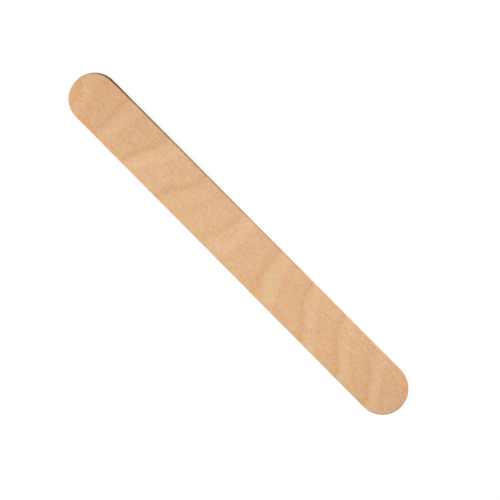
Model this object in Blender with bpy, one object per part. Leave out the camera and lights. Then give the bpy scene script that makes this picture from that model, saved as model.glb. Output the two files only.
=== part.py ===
# Wooden tongue depressor: one flat blade of birch veneer, punched to a straight
# outline with full-round ends, then tumbled so that its cut edges are eased.
# Metres, +Z up. The blade lies on z = 0 with its length along X, centred on the origin.

import math

import bmesh
import bpy

# Driving dimensions of the blade
LENGTH = 0.1524
WIDTH = 0.0175
THICKNESS = 0.0016
EDGE_RADIUS = 0.0004

# How finely the round stretches are cut into facets
END_SEGMENTS = 48
EDGE_SEGMENTS = 6

# Finish of the bare, sanded birch, as the photograph shows it
BIRCH_COLOUR = (0.730, 0.451, 0.255, 1.0)
BIRCH_ROUGHNESS = 0.6

# A fillet may take up most of the half thickness, and leaves a sliver of straight wall
LARGEST_EDGE_SHARE = 0.45


def clear_scene():
    """Starts from an empty scene."""
    for obj in list(bpy.data.objects):
        bpy.data.objects.remove(obj, do_unlink=True)


def birch():
    """Bare birch veneer."""
    material = bpy.data.materials.new("birch")
    material.use_nodes = True
    shader = material.node_tree.nodes["Principled BSDF"]
    shader.inputs["Base Color"].default_value = BIRCH_COLOUR
    shader.inputs["Roughness"].default_value = BIRCH_ROUGHNESS
    shader.inputs["Metallic"].default_value = 0.0
    return material


def end_arc(centre_x, start_angle):
    """Points of one full-round end: half a circle as wide as the blade."""
    radius = WIDTH / 2
    points = []
    for step in range(END_SEGMENTS + 1):
        angle = start_angle + math.pi * step / END_SEGMENTS
        points.append((centre_x + radius * math.cos(angle), radius * math.sin(angle)))
    return points


def blade_outline():
    """The punched outline, anticlockwise. The long sides join the two round ends."""
    end_centre = (LENGTH - WIDTH) / 2
    return end_arc(end_centre, -math.pi / 2) + end_arc(-end_centre, math.pi / 2)


def cut_blank(bm):
    """The veneer blank with square edges: the outline, thickened upwards."""
    rim = [bm.verts.new((x, y, 0.0)) for x, y in blade_outline()]
    sheet = bm.faces.new(rim)
    grown = bmesh.ops.extrude_face_region(bm, geom=[sheet])["geom"]
    raised = [part for part in grown if isinstance(part, bmesh.types.BMVert)]
    bmesh.ops.translate(bm, verts=raised, vec=(0.0, 0.0, THICKNESS))
    bmesh.ops.recalc_face_normals(bm, faces=bm.faces[:])


def ease_edges(bm):
    """Rounds the rim of both faces, and leaves a band of straight wall between them."""
    radius = min(EDGE_RADIUS, LARGEST_EDGE_SHARE * THICKNESS)
    corners = [edge for edge in bm.edges if edge.verts[0].co.z == edge.verts[1].co.z]
    bmesh.ops.bevel(
        bm,
        geom=corners,
        offset=radius,
        offset_type="OFFSET",
        segments=EDGE_SEGMENTS,
        profile=0.5,
        affect="EDGES",
        clamp_overlap=True,
    )


def make_blade():
    """The blade: its origin is the middle of the face that it rests on."""
    mesh = bpy.data.meshes.new("tongue_blade")
    bm = bmesh.new()
    cut_blank(bm)
    ease_edges(bm)
    bm.to_mesh(mesh)
    bm.free()
    mesh.shade_smooth()
    mesh.set_sharp_from_angle(angle=math.radians(40.0))
    mesh.materials.append(birch())
    blade = bpy.data.objects.new("tongue_blade", mesh)
    bpy.context.scene.collection.objects.link(blade)
    return blade


def main():
    clear_scene()
    make_blade()


main()
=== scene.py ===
import math
import random

import bmesh
import bpy
from mathutils import Matrix, Vector, noise


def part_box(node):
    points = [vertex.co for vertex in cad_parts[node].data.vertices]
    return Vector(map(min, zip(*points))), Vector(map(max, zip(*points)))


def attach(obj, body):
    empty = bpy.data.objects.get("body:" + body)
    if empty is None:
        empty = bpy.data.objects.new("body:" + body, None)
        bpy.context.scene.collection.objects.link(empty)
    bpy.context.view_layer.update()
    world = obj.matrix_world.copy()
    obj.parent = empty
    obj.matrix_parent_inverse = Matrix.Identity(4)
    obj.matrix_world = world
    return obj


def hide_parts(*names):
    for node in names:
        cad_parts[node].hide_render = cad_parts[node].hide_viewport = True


# A tongue blade of bare birch veneer, lying on a white table under soft light.
# Lengths are in metres, and in millimetres where a name ends in Mm or a note says so.

mmPerMetre = 1000.0

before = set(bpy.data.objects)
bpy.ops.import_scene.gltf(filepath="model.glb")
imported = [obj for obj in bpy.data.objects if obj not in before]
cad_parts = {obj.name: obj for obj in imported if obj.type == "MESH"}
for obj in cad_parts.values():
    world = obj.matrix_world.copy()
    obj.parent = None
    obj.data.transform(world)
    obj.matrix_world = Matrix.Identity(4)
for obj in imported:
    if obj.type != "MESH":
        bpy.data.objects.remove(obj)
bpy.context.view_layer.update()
bladeLow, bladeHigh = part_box("tongue_blade")
bladeLength = bladeHigh.x - bladeLow.x
bladeWidth = bladeHigh.y - bladeLow.y
bladeThickness = bladeHigh.z - bladeLow.z
halfWidth = bladeWidth / 2
endMiddle = (bladeLength - bladeWidth) / 2    # how far out the half circles of the ends are centred
print("frame loaded: blade", round(bladeLength, 4), round(bladeWidth, 4), round(bladeThickness, 4))


# Camera: nearly straight down, with the blade running down to the right

pictureView = {
    "lens": 400.0,
    "sensor": 36.0,
    "pictureSide": 500.0,              # pixels
    "pixelsPerMetre": 3033.0,          # scale of the picture at the blade
    "bladeMiddle": (237.96, 243.20),   # pixels from the top left corner
    "bladeAngle": 44.66,               # degrees below the horizontal
    "lean": 12.9,                      # degrees off straight down
    "leanTowards": 22.0,               # degrees, anticlockwise from the picture's right
    "clip": (0.1, 20.0),               # nearest and furthest that it shows, as shares of its distance
}


def pictureAxes():
    # the picture's right, up and backward directions, once the camera has leaned over
    turn = math.radians(pictureView["bladeAngle"])
    flatRight = Vector((math.cos(turn), math.sin(turn), 0.0))
    flatUp = Vector((-math.sin(turn), math.cos(turn), 0.0))
    towards = math.radians(pictureView["leanTowards"])
    leanWay = math.cos(towards) * flatRight + math.sin(towards) * flatUp
    hinge = Vector((0.0, 0.0, 1.0)).cross(leanWay)
    leaning = Matrix.Rotation(math.radians(pictureView["lean"]), 3, hinge)
    return leaning @ flatRight, leaning @ flatUp, leaning @ Vector((0.0, 0.0, 1.0))


def addCamera():
    right, up, back = pictureAxes()
    side = pictureView["pictureSide"]
    scale = pictureView["pixelsPerMetre"]
    across = (pictureView["bladeMiddle"][0] - side / 2) / scale
    above = (side / 2 - pictureView["bladeMiddle"][1]) / scale
    lookAt = (bladeLow + bladeHigh) / 2 - across * right - above * up
    distance = side / scale * pictureView["lens"] / pictureView["sensor"]
    lensData = bpy.data.cameras.new("camera")
    lensData.lens = pictureView["lens"]
    lensData.sensor_width = pictureView["sensor"]
    nearest, furthest = pictureView["clip"]
    lensData.clip_start = distance * nearest
    lensData.clip_end = distance * furthest
    camera = bpy.data.objects.new("camera", lensData)
    bpy.context.scene.collection.objects.link(camera)
    camera.matrix_world = Matrix((right, up, back)).transposed().to_4x4()
    camera.location = lookAt + distance * back
    bpy.context.scene.camera = camera


addCamera()
print("camera placed")


# The blade: one closed skin, laid in rings that follow the outline from the middle of the
# underside, round the eased edge, to the middle of the top

bladeShape = {
    "pointSpacing": 0.0003,       # along the outline
    "faceRings": 12,              # rings on each flat face, closer together near the rim
    "faceCrowding": 1.7,
    "edgeSteps": 6,
    "wallSteps": 4,
    "weldReach": 0.000001,        # within which points are joined, in the middle of each face
    "cornerFullness": 0.0002,     # how far the near end is cut fuller than a half circle, towards -Y
    "edgeRadius": 0.0004,         # of the tumbled edge
    "edgeVariation": 0.2,         # share by which that radius comes and goes
    "edgeNoiseMm": 6.0,
    "edgeSeeds": {"underside": 3.1, "top": 8.7},
    "wobble": 0.00002,            # how far the cut side wanders inwards
    "wobbleNoiseMm": 3.5,
    "wobbleSeed": 5.3,
    "faceHollow": 0.000018,       # depth of the sanding hollows in both faces
    "faceNoiseMm": (26.0, 5.0),   # how long and how wide those are
    "faceSeeds": {"underside": 9.9, "top": 4.4},
    "rimReach": 0.0006,           # how far in over the faces the wobble and the dents fade out
    "endFade": 0.010,             # how far the end grain runs on along the sides
    "endKeenness": 3,             # how closely it keeps to the upright wall
    "dents": {
        "count": 16,
        "length": (0.0005, 0.0013),
        "depth": (0.00003, 0.00008),
        "rise": (0.03, 0.97),     # heights on the rim at which they come, as shares of the thickness
        "sink": 0.3,              # how far inside the rim their middles lie, as a share of edgeRadius
        "leastFade": 0.2,         # of the rim's fade, below which a point lies too far in for them
        "seed": 7,
    },
    "map": {
        "tiles": 4,               # that each face is cut into on its map, two to a row
        "strips": 4,              # that the rim is cut into there
        "gap": 0.0007,            # between them
    },
}


def fullness(facing):
    # how far the outline stands out past a half circle where it faces this way
    corner = 2 * max(0.0, -facing.x) * max(0.0, -facing.y)
    return bladeShape["cornerFullness"] * corner ** 2


def walkOutline():
    # points on the outline, anticlockwise, each with the way it faces
    sideSteps = round(2 * endMiddle / bladeShape["pointSpacing"])
    endSteps = round(math.pi * halfWidth / bladeShape["pointSpacing"])
    half = []
    for step in range(sideSteps):
        x = -endMiddle + 2 * endMiddle * step / sideSteps
        half.append((Vector((x, -halfWidth, 0.0)), Vector((0.0, -1.0, 0.0))))
    for step in range(endSteps):
        angle = math.pi * (step / endSteps - 0.5)
        facing = Vector((math.cos(angle), math.sin(angle), 0.0))
        half.append((Vector((endMiddle, 0.0, 0.0)) + halfWidth * facing, facing))
    outline = half + [(-point, -facing) for point, facing in half]
    return [(point + facing * fullness(facing), facing) for point, facing in outline]


def halfSection(radius):
    # from the middle of a face to the wall, as (distance in from the outline, depth below
    # the face, share turned outwards)
    rings = bladeShape["faceRings"]
    steps = bladeShape["edgeSteps"]
    section = []
    for ring in range(rings, -1, -1):
        share = (ring / rings) ** bladeShape["faceCrowding"]
        section.append((radius + share * (halfWidth - radius), 0.0, 0.0))
    for step in range(1, steps):
        angle = math.pi / 2 * step / steps
        section.append((radius * (1 - math.sin(angle)), radius * (1 - math.cos(angle)), math.sin(angle)))
    return section


def crossSection(lowRadius, highRadius):
    # (distance in from the outline, height, share turned outwards), underside to top
    walls = bladeShape["wallSteps"]
    wallHeight = bladeThickness - lowRadius - highRadius
    section = halfSection(lowRadius)
    for wall in range(walls + 1):
        section.append((0.0, lowRadius + wallHeight * wall / walls, 1.0))
    for inwards, depth, outwards in reversed(halfSection(highRadius)):
        section.append((inwards, bladeThickness - depth, outwards))
    return section


def lumpiness(spot):
    # smooth noise from 0 to 1
    return min(1.0, max(0.0, 0.5 + noise.noise(spot)))


def unevenness(place, sizeMm, seed):
    # the same, with lumps of about this size
    return lumpiness(place * (mmPerMetre / sizeMm) + Vector((seed, 2 * seed, -seed)))


def hollowAt(place, seed):
    # how far sanding has taken the face down here
    alongMm, acrossMm = bladeShape["faceNoiseMm"]
    spot = Vector((place.x * mmPerMetre / alongMm, place.y * mmPerMetre / acrossMm, seed))
    return bladeShape["faceHollow"] * lumpiness(spot)


def edgeRadiusAt(point, seed):
    # how far the tumbler has rounded the edge here
    swing = 2 * bladeShape["edgeVariation"] * (unevenness(point, bladeShape["edgeNoiseMm"], seed) - 0.5)
    return bladeShape["edgeRadius"] * (1 + swing)


def chooseDents(outline):
    # small bruises on the rim, from the tumbler
    look = bladeShape["dents"]
    picker = random.Random(look["seed"])
    dents = []
    for index in range(look["count"]):
        point, facing = outline[picker.randrange(len(outline))]
        height = bladeThickness * look["rise"][index % 2]
        spot = Vector((point.x, point.y, height)) - facing * (bladeShape["edgeRadius"] * look["sink"])
        reach = picker.uniform(*look["length"]) / 2
        depth = picker.uniform(*look["depth"])
        dents.append((spot, facing, reach, depth))
    return dents


def bruised(place, dents):
    # a point that lies in a dent is pushed in and towards the middle of the rim
    for spot, facing, reach, depth in dents:
        away = (place - spot).length / reach
        if away < 1.0:
            upDown = -1.0 if spot.z > bladeThickness / 2 else 1.0
            push = Vector((0.0, 0.0, upDown)) - facing
            place = place + push.normalized() * depth * (1 - away * away) ** 2
    return place


def layPoint(point, facing, inwards, height, dents):
    # where a point of the section lies once the blade is cut, sanded and tumbled
    face = "top" if height > bladeThickness / 2 else "underside"
    stretch = 1 + fullness(facing) / halfWidth
    place = point - facing * (inwards * stretch)
    place.z = height
    fade = math.exp(-((inwards / bladeShape["rimReach"]) ** 2))
    wander = unevenness(place, bladeShape["wobbleNoiseMm"], bladeShape["wobbleSeed"])
    hollow = hollowAt(place, bladeShape["faceSeeds"][face]) * (1 - fade)
    place = place - facing * (bladeShape["wobble"] * wander * fade)
    place.z += hollow if face == "underside" else -hollow
    if fade > bladeShape["dents"]["leastFade"]:
        place = bruised(place, dents)
    return place


def layColumn(mesh, point, facing, dents):
    # one line of points over the skin, from the middle of the underside to the middle of the top
    rimLayer = mesh.verts.layers.float["rim"]
    endLayer = mesh.verts.layers.float["endGrain"]
    seeds = bladeShape["edgeSeeds"]
    section = crossSection(edgeRadiusAt(point, seeds["underside"]), edgeRadiusAt(point, seeds["top"]))
    pastEnd = max(0.0, endMiddle - abs(point.x))
    endShare = math.exp(-pastEnd / bladeShape["endFade"])
    column = []
    for inwards, height, outwards in section:
        vertex = mesh.verts.new(layPoint(point, facing, inwards, height, dents))
        vertex[rimLayer] = outwards
        vertex[endLayer] = outwards ** bladeShape["endKeenness"] * endShare
        column.append(vertex)
    return column


def planMap(columnCount):
    # measures of the flat map of the skin, for an edge of the usual radius
    section = crossSection(bladeShape["edgeRadius"], bladeShape["edgeRadius"])
    lengths = [0.0]
    for before, after in zip(section, section[1:]):
        lengths.append(lengths[-1] + math.dist(before[:2], after[:2]))
    lowRim = bladeShape["faceRings"]
    highRim = len(section) - 1 - lowRim
    rimHeight = lengths[highRim] - lengths[lowRim]
    look = bladeShape["map"]
    rimBase = look["tiles"] * (bladeWidth + look["gap"])
    return {
        "columns": columnCount,
        "pitch": (4 * endMiddle + math.pi * bladeWidth) / columnCount,
        "lowRim": lowRim,
        "highRim": highRim,
        "rises": [length - lengths[lowRim] for length in lengths],
        "rimHeight": rimHeight,
        "rimBase": rimBase,
        "side": rimBase + look["strips"] * (rimHeight + look["gap"]),
    }


def mapFace(quad, uvLayer, upper, plan):
    # the faces are laid on the map at one scale, in tiles, so that the grain stays sharp on it
    look = bladeShape["map"]
    gap = look["gap"]
    tileLength = bladeLength / look["tiles"]
    middle = quad.calc_center_median().x + bladeLength / 2
    tile = min(look["tiles"] - 1, int(middle / tileLength))
    row = tile // 2 + (look["tiles"] // 2 if upper else 0)
    for loop in quad.loops:
        spot = loop.vert.co
        across = spot.y if upper else -spot.y
        u = spot.x + bladeLength / 2 - tile * tileLength + tile % 2 * (tileLength + gap) + gap / 2
        v = across + halfWidth + row * (bladeWidth + gap) + gap / 2
        loop[uvLayer].uv = (u / plan["side"], v / plan["side"])


def mapRim(quad, uvLayer, index, ring, plan):
    # the rim is laid above them, cut into strips
    look = bladeShape["map"]
    strip = index * look["strips"] // plan["columns"]
    start = (index - strip * plan["columns"] / look["strips"]) * plan["pitch"] + look["gap"] / 2
    end = start + plan["pitch"]
    base = plan["rimBase"] + strip * (plan["rimHeight"] + look["gap"]) + look["gap"] / 2
    below = base + plan["rises"][ring]
    above = base + plan["rises"][ring + 1]
    for loop, (u, v) in zip(quad.loops, ((start, below), (end, below), (end, above), (start, above))):
        loop[uvLayer].uv = (u / plan["side"], v / plan["side"])


def joinColumns(mesh, columns):
    # quads between neighbouring lines of points, each with its place on the map
    uvLayer = mesh.loops.layers.uv["OFBake"]
    plan = planMap(len(columns))
    for index, column in enumerate(columns):
        following = columns[(index + 1) % len(columns)]
        for ring in range(len(column) - 1):
            quad = mesh.faces.new((column[ring], following[ring], following[ring + 1], column[ring + 1]))
            if plan["lowRim"] <= ring < plan["highRim"]:
                mapRim(quad, uvLayer, index, ring, plan)
            else:
                mapFace(quad, uvLayer, ring >= plan["highRim"], plan)


def buildBlade():
    outline = walkOutline()
    dents = chooseDents(outline)
    mesh = bmesh.new()
    mesh.verts.layers.float.new("rim")
    mesh.verts.layers.float.new("endGrain")
    mesh.loops.layers.uv.new("OFBake")
    joinColumns(mesh, [layColumn(mesh, point, facing, dents) for point, facing in outline])
    bmesh.ops.remove_doubles(mesh, verts=mesh.verts[:], dist=bladeShape["weldReach"])
    bmesh.ops.recalc_face_normals(mesh, faces=mesh.faces[:])
    bladeMesh = bpy.data.meshes.new("tongue_blade_wood")
    mesh.to_mesh(bladeMesh)
    mesh.free()
    bladeMesh.shade_smooth()
    blade = bpy.data.objects.new("tongue_blade_wood", bladeMesh)
    bpy.context.scene.collection.objects.link(blade)
    return blade


blade = buildBlade()
print("blade built:", len(blade.data.vertices), "points,", len(blade.data.polygons), "faces")


# Birch veneer, as one block of wood that the blade is cut from: every pattern runs on
# through the thickness. Sizes and places are in millimetres

birchWood = {
    "tones": [                        # from the darkest pore to the palest wood
        (0.00, "b9885c"),
        (0.25, "d3a074"),
        (0.50, "ddb288"),
        (0.75, "e7c197"),
        (1.00, "eecea8"),
    ],
    "drift": [                        # slow change of tone along the blade, slanting with the rings
        (-73.5, 0.42),
        (-70.0, 0.42),
        (-66.5, 0.39),
        (-60.0, 0.415),
        (-56.0, 0.45),
        (-42.0, 0.495),
        (-32.0, 0.545),
        (-21.0, 0.455),
        (-15.0, 0.54),
        (15.0, 0.49),
        (76.0, 0.46),
    ],
    "rings": {
        "perMm": 0.0599,              # growth rings met along the blade, and how they crowd and spread
        "crowding": {"mean": 3.385, "swing": -0.2387, "middle": -5.0, "length": 150.0},
        "slant": {"mean": -0.127, "swing": 0.598, "middle": -28.0, "length": 150.0},
        "bend": {"mean": 0.0, "swing": 1.4, "middle": -1.5, "length": 17.5},   # gives each line its S
        "dip": 7.5,                   # degrees at which the rings run down into the blade
        "warp": {"along": 9.0, "across": 5.0, "by": 1.1},
        "fray": {"along": 1.6, "across": 0.8, "by": 0.45},
        "weight": 0.30,
        "tone": [                     # over one ring, 0.5 is plain wood
            (0.000, 0.04),
            (0.030, 0.19),
            (0.058, 0.60),
            (0.120, 0.79),
            (0.200, 0.96),
            (0.330, 0.92),
            (0.385, 0.66),
            (0.425, 0.44),            # a false ring
            (0.470, 0.52),
            (0.820, 0.50),
            (0.900, 0.38),
            (0.950, 0.17),
            (1.000, 0.04),
        ],
        "strength": [                 # how plainly they show along the blade
            (-76.0, 0.35),
            (-60.0, 0.47),
            (-42.0, 0.95),
            (-24.0, 0.74),
            (76.0, 0.75),
        ],
        "patches": {"along": 8.0, "across": 6.0, "by": 0.7},   # by which that comes and goes
    },
    "sway": {"along": 38.0, "across": 14.0, "by": 0.9},        # how far the grain wanders sideways
    "fibres": {                       # layers of figure along the grain. The raised ones can be felt
        "streak": {"along": 18.0, "across": 0.9, "detail": 3.0, "weight": 0.05, "raised": False},
        "mottle": {"along": 6.0, "across": 3.6, "detail": 2.0, "weight": 0.06, "raised": False},
        "fleck": {"along": 0.9, "across": 0.42, "detail": 1.0, "weight": 0.60, "raised": False},
        "fibre": {"along": 2.6, "across": 0.22, "detail": 3.0, "weight": 0.60, "raised": True},
        "thread": {"along": 5.0, "across": 0.08, "detail": 1.0, "weight": 0.34, "raised": True},
    },
    "pores": {"along": 2.4, "across": 0.24, "reach": 0.20, "share": 0.45, "weight": 0.42},
    "endPores": 2.0,                  # how much plainer the pores are where they are cut through
    "rays": {"along": 0.8, "across": 0.13, "reach": 0.24, "share": 0.6, "weight": 0.16},
    "scores": {"along": 0.17, "across": 0.17, "upwards": 3.0, "detail": 1.0, "weight": 0.35},
    "hue": {"along": 6.0, "across": 3.6, "detail": 3.0, "weight": 0.15, "seed": -8.2},
    "browningAndShade": {
        "colour": "cf9a7c",           # what it multiplies the wood by, at its full share
        "share": 0.24,                # along the punched sides
        "paintedShadeByTip": {"at": (-67.2, 8.75, 0.8), "reach": 46.0, "by": 0.20},   # painted shade: browner towards the near end, whose cut side lies in shade
        "patches": {"along": 2.5, "across": 0.7, "by": 0.25},   # by which that comes and goes
        "endShare": 0.12,             # more at the ends, where the fibres are cut through
    },
    # painted shade at the shoulder of the near end, on the side away from the key lamp
    "paintedShoulderShade": {
        "colour": "9a3d20",
        "at": (-66.4, 8.75, 0.8),
        "reach": 9.8,
        "overEdge": 8.0,              # how fully it takes in the eased edges too
    },
    "surface": {
        "roughness": 0.62,
        "fibreRoughness": 0.16,       # what fibres and pores add to that
        "poreRoughness": 0.10,
        "specular": 0.12,
        "bumpDepth": 0.000012,        # metres
    },
}


def fromHex(colour):
    # screen colour to the linear one that shaders use
    channels = [int(colour[i:i + 2], 16) / 255 for i in (0, 2, 4)]
    linear = [c / 12.92 if c <= 0.04045 else ((c + 0.055) / 1.055) ** 2.4 for c in channels]
    return (*linear, 1.0)


def addNode(tree, kind, **settings):
    node = tree.nodes.new("ShaderNode" + kind)
    for name, value in settings.items():
        setattr(node, name, value)
    return node


def feed(tree, socket, value):
    # a socket takes a number, a colour, a vector or what another node gives
    if isinstance(value, bpy.types.NodeSocket):
        tree.links.new(value, socket)
    else:
        socket.default_value = value


def calc(tree, operation, *values, clamp=False):
    node = addNode(tree, "Math", operation=operation, use_clamp=clamp)
    for socket, value in zip(node.inputs, values):
        feed(tree, socket, value)
    return node.outputs["Value"]


def vectorCalc(tree, operation, *values):
    node = addNode(tree, "VectorMath", operation=operation)
    for socket, value in zip(node.inputs, values):
        feed(tree, socket, value)
    givesNumber = operation in ("DISTANCE", "DOT_PRODUCT", "LENGTH")
    return node.outputs["Value" if givesNumber else "Vector"]


def easeOver(tree, value, start, end, first=0.0, last=1.0):
    # goes smoothly from first to last while the value goes from start to end
    node = addNode(tree, "MapRange", interpolation_type="SMOOTHSTEP")
    feed(tree, node.inputs["Value"], value)
    node.inputs["From Min"].default_value = start
    node.inputs["From Max"].default_value = end
    node.inputs["To Min"].default_value = first
    node.inputs["To Max"].default_value = last
    return node.outputs["Result"]


def ramp(tree, factor, stops, interpolation="LINEAR"):
    # stops are (position, colour)
    node = addNode(tree, "ValToRGB")
    curve = node.color_ramp
    curve.interpolation = interpolation
    while len(curve.elements) < len(stops):
        curve.elements.new(1.0)
    for element, (position, colour) in zip(curve.elements, stops):
        element.position = position
        element.color = colour
    feed(tree, node.inputs["Fac"], factor)
    return node.outputs["Color"]


def greyRamp(tree, factor, stops, interpolation="LINEAR"):
    # stops are (position, value)
    greys = [(position, (value, value, value, 1.0)) for position, value in stops]
    return ramp(tree, factor, greys, interpolation)


def multiplyColours(tree, share, colour, multiplier):
    node = addNode(tree, "Mix", data_type="RGBA", blend_type="MULTIPLY")
    feed(tree, node.inputs["Factor"], share)
    feed(tree, node.inputs["A"], colour)
    feed(tree, node.inputs["B"], multiplier)
    return node.outputs["Result"]


def drawnOut(tree, place, look):
    # coordinates in which a pattern of size 1 has this look's size. Another seed moves it
    sizes = (look["along"], look["across"], look.get("upwards", look["across"]))
    closeness = [1 / size for size in sizes]
    shift = [look.get("seed", 0.0)] * 3
    return vectorCalc(tree, "MULTIPLY_ADD", place, closeness, shift)


def grainNoise(tree, place, look):
    # noise drawn out along the grain
    node = addNode(tree, "TexNoise")
    feed(tree, node.inputs["Vector"], drawnOut(tree, place, look))
    node.inputs["Scale"].default_value = 1.0
    node.inputs["Detail"].default_value = look.get("detail", 2.0)
    return node


def woodNoise(tree, place, look):
    # the same, as a value from -0.5 to 0.5
    return calc(tree, "SUBTRACT", grainNoise(tree, place, look).outputs["Fac"], 0.5)


def waver(tree, place, look):
    # smooth noise that swings either way by about look["by"]
    return calc(tree, "MULTIPLY", woodNoise(tree, place, look), look["by"] * 2)


def wave(tree, function, x, look):
    # mean + swing * function of the turn that x has made round the middle
    turn = calc(tree, "MULTIPLY", calc(tree, "SUBTRACT", x, look["middle"]), 2 * math.pi / look["length"])
    return calc(tree, "MULTIPLY_ADD", calc(tree, function, turn), look["swing"], look["mean"])


def nearness(tree, place, look):
    # 1 at a spot, falling smoothly to 0 at its reach
    return easeOver(tree, vectorCalc(tree, "DISTANCE", place, look["at"]), look["reach"], 0.0)


def dashes(tree, place, look):
    # short dark spindles along the grain: 1 in their middle, 0 outside
    node = addNode(tree, "TexVoronoi")
    feed(tree, node.inputs["Vector"], drawnOut(tree, place, look))
    node.inputs["Scale"].default_value = 1.0
    core = calc(tree, "DIVIDE", node.outputs["Distance"], look["reach"])
    core = calc(tree, "SUBTRACT", 1.0, core, clamp=True)
    chosen = addNode(tree, "SeparateColor")
    feed(tree, chosen.inputs["Color"], node.outputs["Color"])
    kept = calc(tree, "LESS_THAN", chosen.outputs["Red"], look["share"])
    return calc(tree, "MULTIPLY", core, kept)


def alongBlade(tree, x, curve):
    # a value that changes smoothly from one end of the blade to the other
    lengthMm = bladeLength * mmPerMetre
    position = calc(tree, "MULTIPLY_ADD", x, 1 / lengthMm, 0.5)
    stops = [(0.5 + at / lengthMm, value) for at, value in curve]
    return greyRamp(tree, position, stops, "EASE")


def attributeValue(tree, name):
    return addNode(tree, "Attribute", attribute_name=name).outputs["Fac"]


def placeInMm(tree):
    place = addNode(tree, "TexCoord").outputs["Object"]
    return vectorCalc(tree, "MULTIPLY", place, [mmPerMetre] * 3)


def splitPlace(tree, place):
    # along the blade, across it and up
    parts = addNode(tree, "SeparateXYZ")
    feed(tree, parts.inputs[0], place)
    return parts.outputs


def swayingGrain(tree, place):
    # the grain wanders a little as it runs along the blade
    x, y, z = splitPlace(tree, place)
    grain = addNode(tree, "CombineXYZ")
    feed(tree, grain.inputs["X"], x)
    feed(tree, grain.inputs["Y"], calc(tree, "ADD", y, waver(tree, place, birchWood["sway"])))
    feed(tree, grain.inputs["Z"], z)
    return grain.outputs["Vector"]


def followFigure(tree, place):
    # how far along the blade the ring line through this spot crosses the middle of the top
    rings = birchWood["rings"]
    x, y, z = splitPlace(tree, place)
    bent = calc(tree, "ADD", y, wave(tree, "SINE", y, rings["bend"]))
    slant = wave(tree, "COSINE", x, rings["slant"])
    straight = calc(tree, "SUBTRACT", x, calc(tree, "MULTIPLY", slant, bent))
    depth = calc(tree, "SUBTRACT", bladeThickness * mmPerMetre, z)
    dip = 1 / math.tan(math.radians(rings["dip"]))
    straight = calc(tree, "MULTIPLY_ADD", depth, dip, straight)
    straight = calc(tree, "ADD", straight, waver(tree, place, rings["warp"]))
    return calc(tree, "ADD", straight, waver(tree, place, rings["fray"]))


def ringTone(tree, place, straight):
    # where each growth ring begins, and how the wood pales and darkens over it
    rings = birchWood["rings"]
    crowding = wave(tree, "SINE", straight, rings["crowding"])
    count = calc(tree, "MULTIPLY_ADD", straight, rings["perMm"], crowding)
    tone = greyRamp(tree, calc(tree, "FRACT", count), rings["tone"])
    tone = calc(tree, "MULTIPLY", calc(tree, "SUBTRACT", tone, 0.5), rings["weight"])
    x = splitPlace(tree, place)["X"]
    patches = calc(tree, "ADD", waver(tree, place, rings["patches"]), 1.0)
    strength = calc(tree, "MULTIPLY", alongBlade(tree, x, rings["strength"]), patches)
    return calc(tree, "MULTIPLY", tone, strength)


def addFibres(tree, grain, tone):
    # each layer darkens and pales the wood. The raised ones are also given back, for the surface
    raised = 0.0
    for look in birchWood["fibres"].values():
        pattern = woodNoise(tree, grain, look)
        tone = calc(tree, "MULTIPLY_ADD", pattern, look["weight"], tone)
        if look["raised"]:
            raised = calc(tree, "ADD", raised, pattern)
    return tone, raised


def addPores(tree, grain, tone, ends):
    # dark pores, and finer rays between them
    plainer = calc(tree, "MULTIPLY_ADD", ends, birchWood["endPores"], 1.0)
    pores = calc(tree, "MULTIPLY", dashes(tree, grain, birchWood["pores"]), plainer)
    rays = dashes(tree, grain, birchWood["rays"])
    tone = calc(tree, "MULTIPLY_ADD", pores, -birchWood["pores"]["weight"], tone)
    tone = calc(tree, "MULTIPLY_ADD", rays, -birchWood["rays"]["weight"], tone)
    return tone, pores


def addScores(tree, place, tone, rim):
    # upright scores that the punch leaves on the cut sides
    scores = calc(tree, "MULTIPLY", woodNoise(tree, place, birchWood["scores"]), rim)
    tone = calc(tree, "MULTIPLY_ADD", scores, birchWood["scores"]["weight"], tone)
    return tone, scores


def wanderHue(tree, place, colour):
    # rosier here and yellower there: red, green and blue each come and go, and their sum stays
    look = birchWood["hue"]
    drifts = grainNoise(tree, place, look).outputs["Color"]
    mean = vectorCalc(tree, "DOT_PRODUCT", drifts, [1 / 3] * 3)
    apart = vectorCalc(tree, "SUBTRACT", drifts, mean)
    tint = vectorCalc(tree, "MULTIPLY_ADD", apart, [look["weight"]] * 3, [1.0] * 3)
    return multiplyColours(tree, 1.0, colour, tint)


def brownRimAndPaintShade(tree, place, colour, rim, ends):
    # punching browns the rim, most of all the end grain; towards the near end the browning is deepened as
    # painted shade
    look = birchWood["browningAndShade"]
    share = calc(tree, "ADD", waver(tree, place, look["patches"]), look["share"])
    # painted shade: the rim darkens more towards the near end, where its side lies in shade
    share = calc(tree, "MULTIPLY_ADD", nearness(tree, place, look["paintedShadeByTip"]), look["paintedShadeByTip"]["by"], share)
    share = calc(tree, "MULTIPLY", share, rim)
    share = calc(tree, "MULTIPLY_ADD", ends, look["endShare"], share, clamp=True)
    return multiplyColours(tree, share, colour, fromHex(look["colour"]))


def paintShoulderShade(tree, place, colour, rim):
    # painted shade: the cut side and eased edges at one shoulder of the near end are darkened, where that
    # side lies in shade
    look = birchWood["paintedShoulderShade"]
    onRim = calc(tree, "MULTIPLY", rim, look["overEdge"], clamp=True)
    share = calc(tree, "MULTIPLY", nearness(tree, place, look), onRim)
    return multiplyColours(tree, share, colour, fromHex(look["colour"]))


def finishSurface(tree, shader, raised, pores, scores):
    look = birchWood["surface"]
    rough = calc(tree, "MULTIPLY_ADD", raised, look["fibreRoughness"], look["roughness"])
    rough = calc(tree, "MULTIPLY_ADD", pores, look["poreRoughness"], rough)
    feed(tree, shader.inputs["Roughness"], rough)
    shader.inputs["Specular IOR Level"].default_value = look["specular"]
    bump = addNode(tree, "Bump")
    bump.inputs["Strength"].default_value = 1.0
    bump.inputs["Distance"].default_value = look["bumpDepth"]
    height = calc(tree, "ADD", calc(tree, "SUBTRACT", raised, pores), scores)
    feed(tree, bump.inputs["Height"], height)
    feed(tree, shader.inputs["Normal"], bump.outputs["Normal"])


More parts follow.
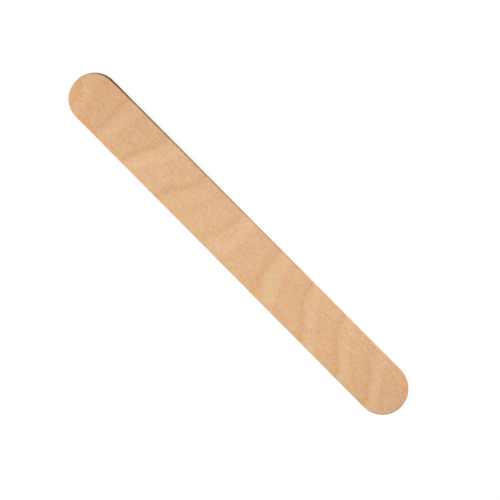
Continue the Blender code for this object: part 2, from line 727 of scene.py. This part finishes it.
def makeBirch():
    material = bpy.data.materials.new("birch_veneer")
    material.use_nodes = True
    tree = material.node_tree
    shader = tree.nodes["Principled BSDF"]
    rim = attributeValue(tree, "rim")
    ends = attributeValue(tree, "endGrain")
    place = placeInMm(tree)
    grain = swayingGrain(tree, place)
    straight = followFigure(tree, place)
    drift = alongBlade(tree, straight, birchWood["drift"])
    tone = calc(tree, "ADD", drift, ringTone(tree, place, straight))
    tone, raised = addFibres(tree, grain, tone)
    tone, pores = addPores(tree, grain, tone, ends)
    tone, scores = addScores(tree, place, tone, rim)
    colour = ramp(tree, tone, [(position, fromHex(tint)) for position, tint in birchWood["tones"]])
    colour = wanderHue(tree, place, colour)
    colour = brownRimAndPaintShade(tree, place, colour, rim, ends)
    # painted shade on the near end's shoulder
    colour = paintShoulderShade(tree, place, colour, rim)
    feed(tree, shader.inputs["Base Color"], colour)
    finishSurface(tree, shader, raised, pores, scores)
    return material


blade.data.materials.append(makeBirch())
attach(blade, "root")
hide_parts("tongue_blade")
print("birch veneer finished")


# White table and soft light. The lamps and the world together light a level face so that a
# colour shows about as it is written

studio = {
    "table": {
        "side": 6.0,
        "drop": 0.00002,            # keeps it clear of the blade's underside
        "shade": 0.16,              # what it gives back to the blade
        "shown": 0.91,              # what is added to that for the eye, past white
        "shownAfar": 1.0,           # the same, away from the blade and its shadow
        "nearBy": (0.10, 0.30),     # how far out the one becomes the other
    },
    "worldLevel": 0.16,
    "lamps": {
        "key": {
            "level": 0.769,         # share of the light on a level face
            "angle": 183.0,         # degrees, anticlockwise from the picture's right
            "height": 40.0,         # degrees above the table
            "distance": 0.70,
            "side": 0.35,
            "aim": 0.0,             # where along the blade it points
            "spread": 180.0,
        },
        "sideLight": {
            "level": 0.0185,        # a narrow spread makes it about six times as strong
            "angle": 10.0,
            "height": 10.0,
            "distance": 0.20,
            "side": 0.07,
            "aim": 0.03,
            "spread": 50.0,
        },
    },
}


def seenDirectly(tree):
    # 1 for what the eye, a mirror or a glass sees, 0 for what only lights other things
    path = addNode(tree, "LightPath")
    seen = calc(tree, "ADD", path.outputs["Is Camera Ray"], path.outputs["Is Glossy Ray"])
    return calc(tree, "ADD", seen, path.outputs["Is Transmission Ray"], clamp=True)


def makeTableWhite():
    look = studio["table"]
    material = bpy.data.materials.new("white_table")
    material.use_nodes = True
    tree = material.node_tree
    shader = tree.nodes["Principled BSDF"]
    shader.inputs["Base Color"].default_value = (look["shade"], look["shade"], look["shade"], 1.0)
    shader.inputs["Roughness"].default_value = 1.0
    shader.inputs["Specular IOR Level"].default_value = 0.0
    shader.inputs["Emission Color"].default_value = (1.0, 1.0, 1.0, 1.0)
    away = vectorCalc(tree, "LENGTH", addNode(tree, "TexCoord").outputs["Object"])
    near, far = look["nearBy"]
    shown = easeOver(tree, away, near, far, look["shown"], look["shownAfar"])
    feed(tree, shader.inputs["Emission Strength"], calc(tree, "MULTIPLY", seenDirectly(tree), shown))
    return material


def addTable():
    mesh = bpy.data.meshes.new("table")
    half = studio["table"]["side"] / 2
    corners = [(-half, -half, 0), (half, -half, 0), (half, half, 0), (-half, half, 0)]
    mesh.from_pydata(corners, [], [(0, 1, 2, 3)])
    mesh.materials.append(makeTableWhite())
    table = bpy.data.objects.new("table", mesh)
    table.location.z = bladeLow.z - studio["table"]["drop"]
    bpy.context.scene.collection.objects.link(table)


def addWorld():
    world = bpy.data.worlds.new("studio")
    world.use_nodes = True
    tree = world.node_tree
    background = tree.nodes["Background"]
    background.inputs["Color"].default_value = (1.0, 1.0, 1.0, 1.0)
    missing = 1.0 - studio["worldLevel"]
    strength = calc(tree, "MULTIPLY_ADD", seenDirectly(tree), missing, studio["worldLevel"])
    feed(tree, background.inputs["Strength"], strength)
    bpy.context.scene.world = world


def addLamp(name, look):
    # a square lamp that gives a level face at the blade its share of full light
    turn = math.radians(pictureView["bladeAngle"] + look["angle"])
    rise = math.radians(look["height"])
    way = Vector((math.cos(turn) * math.cos(rise), math.sin(turn) * math.cos(rise), math.sin(rise)))
    lampData = bpy.data.lights.new(name, "AREA")
    lampData.shape = "SQUARE"
    lampData.size = look["side"]
    lampData.spread = math.radians(look["spread"])
    lampData.energy = look["level"] * (math.pi * look["distance"]) ** 2 / math.sin(rise)
    lamp = bpy.data.objects.new(name, lampData)
    lamp.location = Vector((look["aim"], 0.0, bladeHigh.z)) + way * look["distance"]
    lamp.rotation_mode = "QUATERNION"
    lamp.rotation_quaternion = way.to_track_quat("Z", "Y")
    lamp.visible_camera = False
    bpy.context.scene.collection.objects.link(lamp)


addTable()
addWorld()
for lampName, lampLook in studio["lamps"].items():
    addLamp(lampName, lampLook)
bpy.context.scene.view_settings.view_transform = "Standard"
print("table and lights set")
